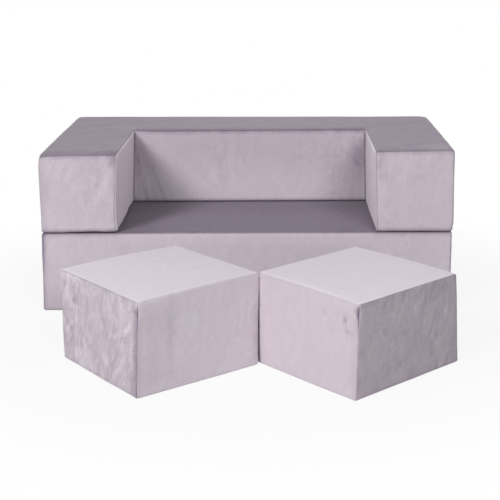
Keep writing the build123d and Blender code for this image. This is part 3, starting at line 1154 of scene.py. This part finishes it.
@dataclass
class ZipTeeth:
    """The two rows of moulded teeth of one zip.

    Attributes:
        name: The block that the zip is on.
        place: From the zip's own frame, with X along it and Y out of the cloth, to the sofa's.
        length: How long the rows are.
    """

    name: str
    place: Matrix
    length: float
    pitch: float = 2.0 * MM
    root: float = 3.0 * MM
    tip: float = 0.42 * MM
    depth: float = 1.9 * MM
    width: float = 1.25 * MM
    edge: float = 0.22 * MM

    def tooth(self, form: Form, x: float, side: int) -> None:
        """Adds one tooth: a root on the tape and a narrower head."""
        reach = self.root - self.tip
        place = Matrix.Translation((x, -self.depth / 2, side * (self.tip + reach / 2)))
        shape = Matrix.Diagonal((self.width, self.depth, reach, 1))
        made = bmesh.ops.create_cube(form, size=1.0, matrix=place @ shape)["verts"]
        head = [v for v in made if side * v.co.z < self.tip + 0.1 * MM]
        middle = Matrix.Translation((-x, self.depth / 2, 0))
        bmesh.ops.scale(form, verts=head, vec=(0.72, 0.8, 1.0), space=middle)
        round_edges(form, list({e for v in made for e in v.link_edges}), self.edge, 2)

    def make(self, finish: Material) -> None:
        """Builds one pair of teeth and repeats it: each tooth stands between two of the other row."""
        form = bmesh.new()
        count = int(self.length / self.pitch) - 1
        start = -(count - 0.5) * self.pitch / 2
        for side in (-1, 1):
            self.tooth(form, start + 0.25 * side * self.pitch, side)
        form.transform(self.place)
        piece = new_piece(self.name + "_zip_teeth", form, finish)
        row = piece.modifiers.new("row", "ARRAY")
        row.count = count
        row.use_relative_offset, row.use_constant_offset = False, True
        row.constant_offset_displace = self.place.to_3x3() @ Vector((self.pitch, 0, 0))
        stand_in(piece, self.name, self.name + "_zip_rows")


@dataclass
class FoamBlock:
    """A block of cut foam that fills a cover.

    Attributes:
        node: The frame's node that it stands for.
        body: What it moves with.
        low: Its lowest corner, in its block's own frame.
        high: Its highest corner.
        place: From the block's own frame to the sofa's.
        settled: How its corners have moved, as its cover's have.
    """

    node: str
    body: str
    low: Vector
    high: Vector
    place: Matrix = field(default_factory=Matrix)
    settled: Settled = field(default_factory=dict)
    edge: float = 11 * MM
    fill: float = 1.0

    def make(self, finish: Material) -> None:
        """Builds the block with pressed-down edges."""
        form, size = block_form(self.low, self.high), self.high - self.low
        round_edges(form, form.edges[:], self.edge, 4)
        for face in form.faces:
            face.smooth = face.calc_area() < 0.25 * size.x * size.z
        at = np.array([v.co for v in form.verts])
        move_verts(form, at + settle(at, self.low, self.high, self.settled))
        form.transform(self.place)
        piece = new_piece(self.node + "_block", form, finish)
        stand_in(piece, self.body, self.node)


@dataclass
class FoldBand:
    """The sewn cloth band that the backrest folds over on.

    Attributes:
        face: Y of its inner side, on the blocks' backs.
        fold: Z of the line that it folds on.
        hems: How far in from each long edge its extra cuts are.
        columns: How many faces it is cut into along its length.
    """

    width: float = 1.0
    low: float = 182.0 * MM
    high: float = 238.3 * MM
    face: float = 300.0 * MM
    thickness: float = 1.6 * MM
    fold: float = 210.15 * MM
    fold_half: float = 3.2 * MM
    hems: tuple[float, float] = (3.0 * MM, 8.0 * MM)
    columns: int = 80

    def make(self, finish: Material) -> None:
        """Builds the band, cut finely at its fold."""
        half, outer = self.width / 2, self.face + self.thickness
        form = block_form(Vector((-half, self.face, self.low)), Vector((half, outer, self.high)))
        near_fold = [self.fold + self.fold_half * i / 6 for i in range(-6, 7)]
        cut_across(form, 2, near_fold + [z for hem in self.hems for z in (self.low + hem, self.high - hem)])
        cut_across(form, 0, [-half + self.width * i / self.columns for i in range(1, self.columns)])
        piece = new_piece("fold_band", form, finish)
        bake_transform(piece)
        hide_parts("hinge_band_lower", "hinge_band_upper")
        self.high - self.low
        LOG.info("%s: %d faces", piece.name, len(piece.data.polygons))


@dataclass(frozen=True)
class SoftBox:
    """A square soft light that looks at the sofa."""

    name: str
    place: Point
    target: Point
    size: float
    power: float


@dataclass
class Studio:
    """Floor, soft boxes, sky light and the camera at the photograph's angle."""

    eye: Point = (0.1021, -3.0807, 0.9531)
    pitch: float = 0.2766
    yaw: float = 0.0334
    roll: float = -0.0119
    lens: float = 80.31
    sensor: float = 36.0
    clip: tuple[float, float] = (0.05, 60.0)
    sky: float = 0.2
    floor_size: float = 14.0
    floor_drop: float = 0.5 * MM
    floor_colour: Colour = (206, 205, 206)
    shadow_middle: Point = (0.0, -0.25, 0.0)
    shadow_reach: tuple[float, float] = (0.6, 1.2)
    shadow_share: float = 0.1
    boxes: tuple[SoftBox, ...] = (
        SoftBox("key_light", (-2.55, -3.68, 2.94), (0.0, 0.0, 0.2), 1.35, 168.0),
        SoftBox("fill_light", (1.8, -4.43, 3.1), (0.0, 0.0, 0.2), 2.05, 108.0),
        SoftBox("back_light", (-0.1, 4.5, 0.8), (0.0, 0.0, 0.2), 1.1, 50.0),
    )

    def camera(self) -> None:
        """Makes the camera and looks through it."""
        data = bpy.data.cameras.new("camera")
        data.lens, data.sensor_width = self.lens, self.sensor
        data.clip_start, data.clip_end = self.clip
        turn = Matrix.Rotation(self.yaw, 4, "Z") @ Matrix.Rotation(math.pi / 2 - self.pitch, 4, "X")
        eye = bpy.data.objects.new("camera", data)
        eye.matrix_world = Matrix.Translation(self.eye) @ turn @ Matrix.Rotation(self.roll, 4, "Z")
        bpy.context.scene.collection.objects.link(eye)
        bpy.context.scene.camera = eye

    def light(self, box: SoftBox) -> None:
        """Hangs one soft box, turned to what it lights."""
        data = bpy.data.lights.new(box.name, "AREA")
        data.shape, data.size, data.energy = "SQUARE", box.size, box.power
        lamp = bpy.data.objects.new(box.name, data)
        lamp.visible_camera = False
        turn = (Vector(box.target) - Vector(box.place)).to_track_quat("-Z", "Y")
        lamp.matrix_world = Matrix.Translation(box.place) @ turn.to_matrix().to_4x4()
        bpy.context.scene.collection.objects.link(lamp)

    @staticmethod
    def seen(shader: Shader) -> Signal:
        """One for rays from the camera, or by way of metal or glass; nothing for light on its way."""
        path = shader.node("LightPath", {})
        seen = Signal(shader, path.outputs["Is Camera Ray"])
        for name in ("Is Glossy Ray", "Is Transmission Ray"):
            seen = seen.math("MAXIMUM", seen, Signal(shader, path.outputs[name]))
        return seen

    def world(self) -> None:
        """Makes the sky: white where it is seen, and a plain soft level as light."""
        bpy.context.scene.world = bpy.data.worlds.new("studio")
        shader = Shader(bpy.context.scene.world)
        soft, white = (shader.node("Background", {"Color": WHITE, "Strength": s}) for s in (self.sky, 1.0))
        shader.mixed("World", self.seen(shader), soft, white)

    def floor(self) -> None:
        """Lays the floor: white where it is seen, but for a faint shadow under the sofa."""
        form = bmesh.new()
        bmesh.ops.create_grid(form, x_segments=1, y_segments=1, size=self.floor_size / 2)
        bmesh.ops.translate(form, verts=form.verts[:], vec=(0, 0, -self.floor_drop))
        shader = Shader.named("floor")
        matt = shader.node("BsdfDiffuse", {"Color": linear(self.floor_colour)})
        white = shader.node("Emission", {"Color": WHITE, "Strength": 1.0})
        ends = {0: shader.place(), 1: self.shadow_middle}
        away = shader.signal("VectorMath", ends, "Value", operation="DISTANCE")
        clear = shader.spread(away, self.shadow_reach, (1 - self.shadow_share, 1.0), eased=True)
        shader.mixed("Material", self.seen(shader) * clear, matt, white)
        new_piece("floor", form, shader.owner)

    def make(self) -> None:
        """Sets up the whole studio."""
        self.camera()
        for box in self.boxes:
            self.light(box)
        self.world()
        self.floor()
        bpy.context.scene.view_settings.view_transform = "Standard"
        LOG.info("studio: %d soft boxes", len(self.boxes))


@dataclass
class Sofa:
    """The whole sofa: where each block stands, and what dresses it."""

    frame: dict[str, Any]
    width: float = 1060 * MM
    depth: float = 600 * MM
    height: float = 210 * MM
    backrest_low: float = 210.3 * MM
    backrest_high: float = 415.3 * MM
    zip_margin: float = 80 * MM
    zip_height: float = 70 * MM
    pouf_side: float = 322 * MM
    pouf_zip_margin: float = 36 * MM
    arm: float = 199 * MM
    niche_back: float = 45 * MM
    foam_inset: float = 6 * MM
    velvet: Material = field(init=False)
    foam: Material = field(init=False)

    def __post_init__(self) -> None:
        """Makes the two materials that all blocks share."""
        self.velvet = Velvet().material()
        self.foam = CutFoam().material()

    def zip_at(self, name: str) -> tuple[Vector, float]:
        """Middle of a block's zip in the block's own frame, and how long it is."""
        if name.endswith("pouf"):
            return Vector((0, self.pouf_side / 2, self.zip_height)), self.pouf_side - 2 * self.pouf_zip_margin
        low = self.backrest_low if name == "backrest" else 0.0
        return Vector((0, self.depth / 2, low + self.zip_height)), self.width - 2 * self.zip_margin

    def place_of(self, name: str) -> Matrix:
        """Reads where a block stands: a pouf's middle from its mount, its turn from its zip's joint."""
        if not name.endswith("pouf"):
            return Matrix()
        mount = next(m for m in self.frame["record"]["mounts"] if m["name"] == name + "_rest")
        joint = next(j for j in self.frame["joints"] if j["name"] == name + "_zip_slide")
        turn = math.atan2(-joint["axis"][1], -joint["axis"][0])
        return Matrix.Translation(mount["pos_m"]) @ Matrix.Rotation(turn, 4, "Z")

    @staticmethod
    def strip(name: str, half: Vector, tones: Sequence[float], rubbed: Sequence[float]) -> list[Panel]:
        """Lists the panels of a plain block's cover: the strip, the left end and the right end.

        Args:
            name: The block.
            half: Half its width and depth, and its whole height.
            tones: How light each side looks, in the order of the sides.
            rubbed: How strongly each panel is rubbed about.
        """
        middle = half.z / 2
        places = {
            Side.FRONT: (0, -half.y, middle), Side.TOP: (0, 0, half.z), Side.BACK: (0, half.y, middle),
            Side.UNDER: (0, 0, 0), Side.LEFT: (-half.x, 0, middle), Side.RIGHT: (half.x, 0, middle),
        }
        sides, looks = list(places), dict(zip(SIDES, tones))
        parts = zip(("wrap", "left_end", "right_end"), (sides[:4], sides[4:5], sides[5:]), rubbed)
        return [
            Panel(f"{name}_cover_{part}", {side: places[side] for side in covered}, looks, rub)
            for part, covered, rub in parts
        ]

    def base(self) -> None:
        """Dresses the base block."""
        half = Vector((self.width / 2, self.depth / 2, self.height))
        # The sides' tones are partly the pile's lie and partly painted shade: the seat top is far darker than
        # the front.
        panels = self.strip("base", half, (0.758, 0.74, 0.72, 0.72, 0.475, 0.66), (0.25, 0.6, 0.6))
        settled = {
            (-1, -1, 1): (-2.0, 0.0, 0.0), (-1, -1, -1): (-7.6, -8.0, 0.0), (1, -1, 1): (-1.2, 0.0, 0.0),
        }
        low = Vector((-half.x, -half.y, 0))
        BaseCover("base", low, half, panels, *self.zip_at("base"), settled=settled, seed=11).make(self.velvet)

    def backrest(self) -> None:
        """Dresses the backrest."""
        out, back = self.width / 2, self.depth / 2
        inner, middle = out - self.arm, (self.backrest_low + self.backrest_high) / 2
        arm_x, arm_y = (out + inner) / 2, (self.niche_back - back) / 2
        # The panels' tones are partly the pile's lie and partly painted light and shade: the top darker
        # against the back lamp's sheen, the arms' insides lighter where little light reaches them.
        cuts: tuple[tuple[str, Side, Point, float, float], ...] = (
            ("top", Side.TOP, (0, 0, self.backrest_high), 0.57, 0.35),
            ("underside", Side.UNDER, (0, 0, self.backrest_low), 0.62, 0.3),
            ("left_arm_front", Side.FRONT, (-arm_x, -back, middle), 0.733, 0.4),
            ("left_arm_inside", Side.RIGHT, (-inner, arm_y, middle), 0.905, 0.25),
            ("back_inside", Side.FRONT, (0, self.niche_back, middle), 0.704, 0.3),
            ("right_arm_inside", Side.LEFT, (inner, arm_y, middle), 0.838, 0.25),
            ("right_arm_front", Side.FRONT, (arm_x, -back, middle), 0.738, 0.35),
            ("right_outside", Side.RIGHT, (out, 0, middle), 0.72, 0.6),
            ("back_outside", Side.BACK, (0, back, middle), 0.74, 0.5),
            ("left_outside", Side.LEFT, (-out, 0, middle), 0.72, 0.6),
        )
        panels = [Panel("backrest_cover_" + n, {s: p}, {s: tone}, rub) for n, s, p, tone, rub in cuts]
        marks = marks_on(Side.FRONT, -300, (
            (344, 387, 8, 17, -0.09, 0.3), (352, 354, 9, 10, -0.065, 0.3), (444, 351, 11, 5, -0.055, 0.5),
            (430, 381, 9, 10, -0.02), (-513, 328, 12, 32, -0.025), (-379, 343, 10, 12, -0.035, 0.4),
            (-339, 334, 6, 12, -0.03), (-386, 396, 42, 18, -0.02), (-338, 397, 17, 16, -0.09),
        ))
        marks += marks_on(Side.TOP, 415, ((-352, -272, 22, 30, -0.05), (495, -262, 38, 60, 0.06)))
        # Painted shade on the inner back panel: deeper shadow in the right corner, and dark fold lines in the
        # left arm's shadow.
        marks += marks_on(Side.FRONT, 45, (
            (305, 351, 16, 38, -0.085), (314, 297, 7, 26, -0.05), (272, 285, 48, 66, -0.055),
            (-317, 322, 3.5, 36, -0.09, -0.16), (-300, 245, 5, 36, -0.06, -0.34),
            (-326, 221, 3, 14, -0.06, -0.3), (-262, 262, 7, 60, -0.025, -0.49),
        ))
        settled = {
            (-1, 1, 1): (-1.2, 0.0, 4.5), (1, 1, 1): (-1.0, 0.0, -1.0), (1, -1, 1): (-0.8, 0.0, 7.5),
            (-1, -1, 1): (-0.4, 0.0, -1.2), (-1, -1, -1): (-2.4, 0.0, 0.0), (1, -1, -1): (2.6, 0.0, 0.0),
        }
        low, high = Vector((-out, -back, self.backrest_low)), Vector((out, back, self.backrest_high))
        BackrestCover(
            "backrest", low, high, panels, *self.zip_at("backrest"), marks=marks, settled=settled, seed=23,
        ).make(self.velvet)

    def pouf(self, name: str, tones: Sequence[float], rubbed: Sequence[float], settled: Settled,
             **details: Any) -> None:
        """Dresses one pouf, and fills it.

        Args:
            name: The pouf.
            tones: How light each side looks, in the order of the sides.
            rubbed: How strongly each panel is rubbed about.
            settled: How its corners have moved.
            details: The cover's other values, such as its marks and front end.
        """
        half = Vector((self.pouf_side / 2, self.pouf_side / 2, self.height))
        low, place = Vector((-half.x, -half.y, 0)), self.place_of(name)
        panels = self.strip(name, half, tones, rubbed)
        cover = PoufCover(name, low, half, panels, *self.zip_at(name), place, settled=settled, **details)
        cover.make(self.velvet)
        inset = Vector((self.foam_inset,) * 3)
        FoamBlock(name + "_foam", name, low + inset, half - inset, place, settled).make(self.foam)

    def left_pouf(self) -> None:
        """Dresses the left pouf, whose left end is rubbed about most."""
        side = self.pouf_side / MM / 2
        marks = marks_on(Side.LEFT, -side, (
            (94, 152, 5, 12, -0.06, -0.5), (-28, 135, 9, 22, -0.05, 0.5), (0, 72, 6, 34, -0.03, 0.6),
            (-97, 126, 12, 20, -0.04), (-4, 21, 6, 16, -0.05, -0.5), (-74, 14, 11, 12, -0.05, 0.3),
            (-126, 145, 5, 30, 0.04, -0.3), (30, 36, 6, 25, 0.04, 0.2), (60, 100, 9, 30, 0.03, -0.2),
            (122, 203, 42, 9, 0.12), (152, 178, 10, 24, 0.08),
        ))
        # On the front, the last mark is painted shade where the cloth turns away at the right edge, beside
        # the other pouf.
        marks += marks_on(Side.FRONT, -side, (
            (-80, 128, 9, 62, -0.056), (-130, 165, 14, 16, -0.02), (-129, 33, 26, 18, -0.025),
            (-62, 178, 10, 18, -0.025), (-118, 100, 44, 120, -0.03), (158, 70, 10, 80, -0.09),
        ))
        settled = {
            (-1, -1, 1): (3.6, -2.7, 4.5), (1, -1, 1): (10.7, 2.8, 4.3), (-1, 1, 1): (-2.9, 3.0, 4.9),
            (1, 1, 1): (-1.7, 2.0, 3.2), (-1, -1, -1): (-8.7, -3.0, 0), (1, -1, -1): (-6.1, -9.9, 0),
            (-1, 1, -1): (-9.8, -8.8, 0),
        }
        # The sides' tones are partly the pile's lie and partly painted light and shade.
        tones = (0.792, 0.76, 0.73, 0.76, 0.88, 0.7)
        self.pouf(
            "left_pouf", tones, (0.25, 1.15, 0.6), settled,
            marks=marks, front_end=-1, front_seam=0.5, seed=31,
        )

    def right_pouf(self) -> None:
        """Dresses the right pouf, whose right end lies with its pile the dark way."""
        side = self.pouf_side / MM / 2
        marks = marks_on(Side.RIGHT, side, (
            (23, 166, 12, 20, 0.05, 0.5), (-47, 162, 12, 25, 0.035), (118, 133, 8, 22, 0.04, 0.2),
            (-84, 193, 6, 14, -0.05, 0.4), (5, 147, 6, 6, -0.04), (100, 192, 30, 14, -0.035),
            (-45, 20, 20, 10, 0.03),
        ))
        # On the front, the last two marks are painted shade: the dark gap down the left edge against the
        # other pouf, and the open tuck at the top of the front corner.
        marks += marks_on(Side.FRONT, -side, (
            (122, 168, 6, 7.5, -0.19), (131, 146, 8, 4, -0.11), (61, 170, 6, 5, -0.06),
            (83, 140, 5, 4, -0.055), (150, 194, 3.5, 5, -0.05), (-side, 105, 5, 300, -0.45),
            (159, 190, 3, 14, -0.3),
        ))
        settled = {
            (-1, -1, 1): (10.9, -8.8, 6.0), (1, -1, 1): (-1.7, -1.9, 2.0), (1, 1, 1): (-3.4, -3.4, 2.1),
            (-1, 1, 1): (2.1, 2.3, 0.4), (-1, -1, -1): (14.0, -15.9, 0), (1, -1, -1): (2.8, -13.9, 0),
            (1, 1, -1): (3.7, 5.3, 0),
        }
        # The sides' tones are partly the pile's lie and partly painted light and shade.
        tones = (0.762, 0.76, 0.76, 0.68, 0.897, 0.7)
        self.pouf(
            "right_pouf", tones, (0.2, 0.6, 0.65), settled,
            marks=marks, front_end=1, front_seam=0.12, seed=47,
        )

    def zips(self) -> None:
        """Dresses all four zips: teeth, tapes, stops, sliders and pulls."""
        nylon, metal = Nylon().material(), CastMetal().material()
        for name in ("base", "backrest", "left_pouf", "right_pouf"):
            middle, length = self.zip_at(name)
            place = self.place_of(name) @ Matrix.Translation(middle)
            ZipTeeth(name, place, length).make(nylon)
            tape = WovenTape(name + "_tape", turn=place.to_euler().z).material()
            for part, finish in (("tapes", tape), ("stops", metal), ("slider", metal), ("pull", metal)):
                self.finish(f"{name}_zip_{part}", finish)

    def finish(self, node: str, material: Material) -> None:
        """Gives one of the frame's own nodes a material."""
        for slot in self.frame["nodes"][node].material_slots:
            slot.material = material
        LOG.info("%s: %s", node, material.name)

    def foams(self) -> None:
        """Fills the base and the backrest with foam, a little inside the cloth."""
        inset = self.foam_inset
        out, back, inner = self.width / 2 - inset, self.depth / 2 - inset, self.width / 2 - self.arm + inset
        low, high, front = self.backrest_low + inset, self.backrest_high - inset, self.niche_back + inset
        leaning = {(1, -1, -1): (-7.0, 0.0, 2.0), (1, 1, -1): (-5.0, 0.0, 2.0)}
        for node, first, last, settled in (
            ("base", (-out, -back, inset), (out, back, self.height - inset), {}),
            ("backrest_back", (-out, front, low), (out, back, high), {}),
            ("backrest_left_arm", (-out, -back, low), (-inner, front, high), leaning),
            ("backrest_right_arm", (inner, -back, low), (out, front, high), {}),
        ):
            body = node.split("_")[0]
            FoamBlock(node + "_foam", body, Vector(first), Vector(last), settled=settled).make(self.foam)

    def make(self) -> None:
        """Dresses the whole sofa."""
        self.base()
        self.backrest()
        self.left_pouf()
        self.right_pouf()
        self.zips()
        # The webbing's darker shade is painted shade between its threads.
        shades = ((0.1, (118, 108, 121)), (0.9, (158, 148, 160)))
        FoldBand().make(WovenTape("band_webbing", shades, thread=2.4 * MM).material())
        self.foams()


def main() -> None:
    """Loads the frame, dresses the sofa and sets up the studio."""
    logging.basicConfig(level=logging.INFO, format="%(name)s %(message)s")
    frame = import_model()
    Studio().make()
    Sofa(frame).make()


if __name__ == "__main__":
    main()
